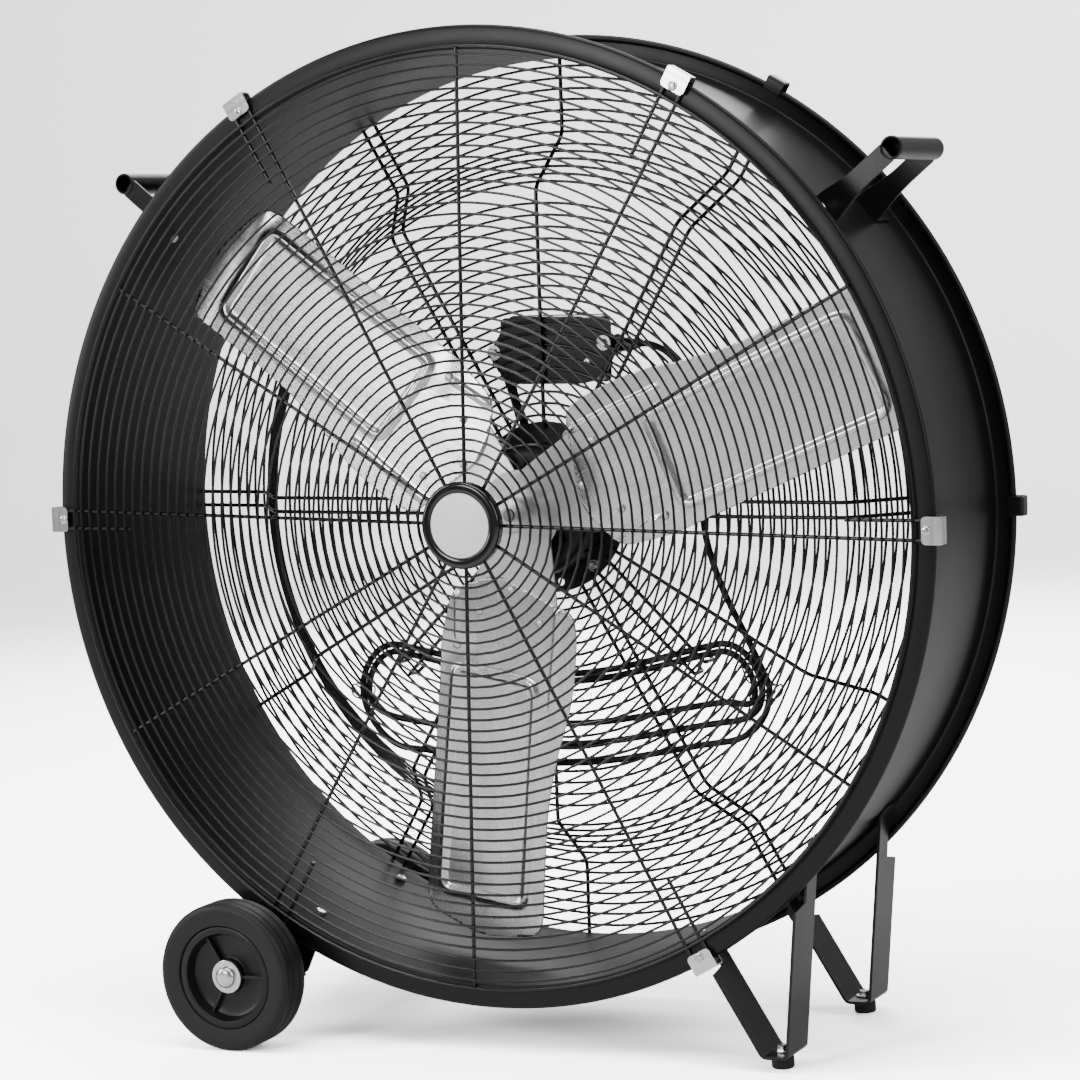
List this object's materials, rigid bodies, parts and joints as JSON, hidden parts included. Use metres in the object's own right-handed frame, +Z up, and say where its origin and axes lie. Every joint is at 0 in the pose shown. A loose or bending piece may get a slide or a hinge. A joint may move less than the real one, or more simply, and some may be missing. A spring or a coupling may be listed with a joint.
{
  "type": "drum fan",
  "caption": "Wheeled drum fan: a wide rolled steel drum with wire guards, a rear-mounted motor with a bladed fan wheel, carrying handles, V-shaped feet, wheels and a tied mains cord.",
  "frame": {"origin": "on the floor under the middle of the drum, midway between the front and rear wheels", "axes": "+Z up, -Y towards the front guard along the fan axis, +X to the right seen from the front"},
  "size_m": [0.9824, 0.3618, 1.0093],
  "materials": {
    "drum_paint": "satin black powder coat",
    "guard_wire": "gloss black coated wire",
    "zinc": "bright zinc plate",
    "steel": "ground steel",
    "aluminium": "pressed sheet with fine mill grain",
    "winding": "varnished copper wire on laminations",
    "rubber": "matte",
    "tyre": "solid rubber tyre",
    "black_plastic": "moulded, lightly grained",
    "cord": "smooth cable sheath",
    "white_disc": "plain white"
  },
  "bodies": {
    "root": {"drum_shell": "drum_paint", "front_guard": "guard_wire", "rear_guard": "guard_wire", "guard_cap": "black_plastic", "cap_disc": "white_disc", "front_clip_1": "zinc", "front_clip_2": "zinc", "front_clip_3": "zinc", "front_clip_4": "zinc", "front_clip_5": "zinc", "front_clip_6": "zinc", "rear_clip_1": "drum_paint", "rear_clip_2": "drum_paint", "rear_clip_3": "drum_paint", "rear_clip_4": "drum_paint", "rear_clip_5": "drum_paint", "rear_clip_6": "drum_paint", "motor_plate": "drum_paint", "motor_front_bell": "drum_paint", "motor_rear_shell": "drum_paint", "motor_stator": "winding", "front_bearing": "steel", "rear_bearing": "steel", "control_box": "drum_paint", "strain_relief": "cord", "motor_lead": "cord", "handle_right": "drum_paint", "handle_left": "drum_paint", "leg_front": "drum_paint", "foot_front": "rubber", "cap_nut_front": "zinc", "leg_rear": "drum_paint", "foot_rear": "rubber", "cap_nut_rear": "zinc", "wheel_bracket": "drum_paint", "wheel_axle": "steel", "cord_lead": "cord", "cord_hank": "cord", "plug": "cord", "cord_tie_right": "black_plastic", "cord_tie_left": "black_plastic"},
    "fan_rotor": {"motor_shaft": "steel", "rotor_core": "steel", "hub_spider": "aluminium", "blade_1": "aluminium", "blade_2": "aluminium", "blade_3": "aluminium"},
    "front_wheel": {"tyre_front": "tyre", "wheel_front": "black_plastic"},
    "rear_wheel": {"tyre_rear": "tyre", "wheel_rear": "black_plastic"},
    "knob": {"speed_knob": "black_plastic"}
  },
  "joints": [
    {"name": "fan_spin", "type": "hinge", "parent": "root", "child": "fan_rotor", "pos_m": [0, 0, 0.5268], "axis": [0, 1, 0], "continuous": true},
    {"name": "front_wheel_spin", "type": "hinge", "parent": "root", "child": "front_wheel", "pos_m": [-0.2837, -0.1609, 0.076], "axis": [0, 1, 0], "continuous": true},
    {"name": "rear_wheel_spin", "type": "hinge", "parent": "root", "child": "rear_wheel", "pos_m": [-0.2837, 0.1609, 0.076], "axis": [0, 1, 0], "continuous": true},
    {"name": "speed_knob_turn", "type": "hinge", "parent": "root", "child": "knob", "pos_m": [0.00562, 0.12, 0.6877], "axis": [0, 1, 0], "range_deg": [0, 180]}
  ]
}
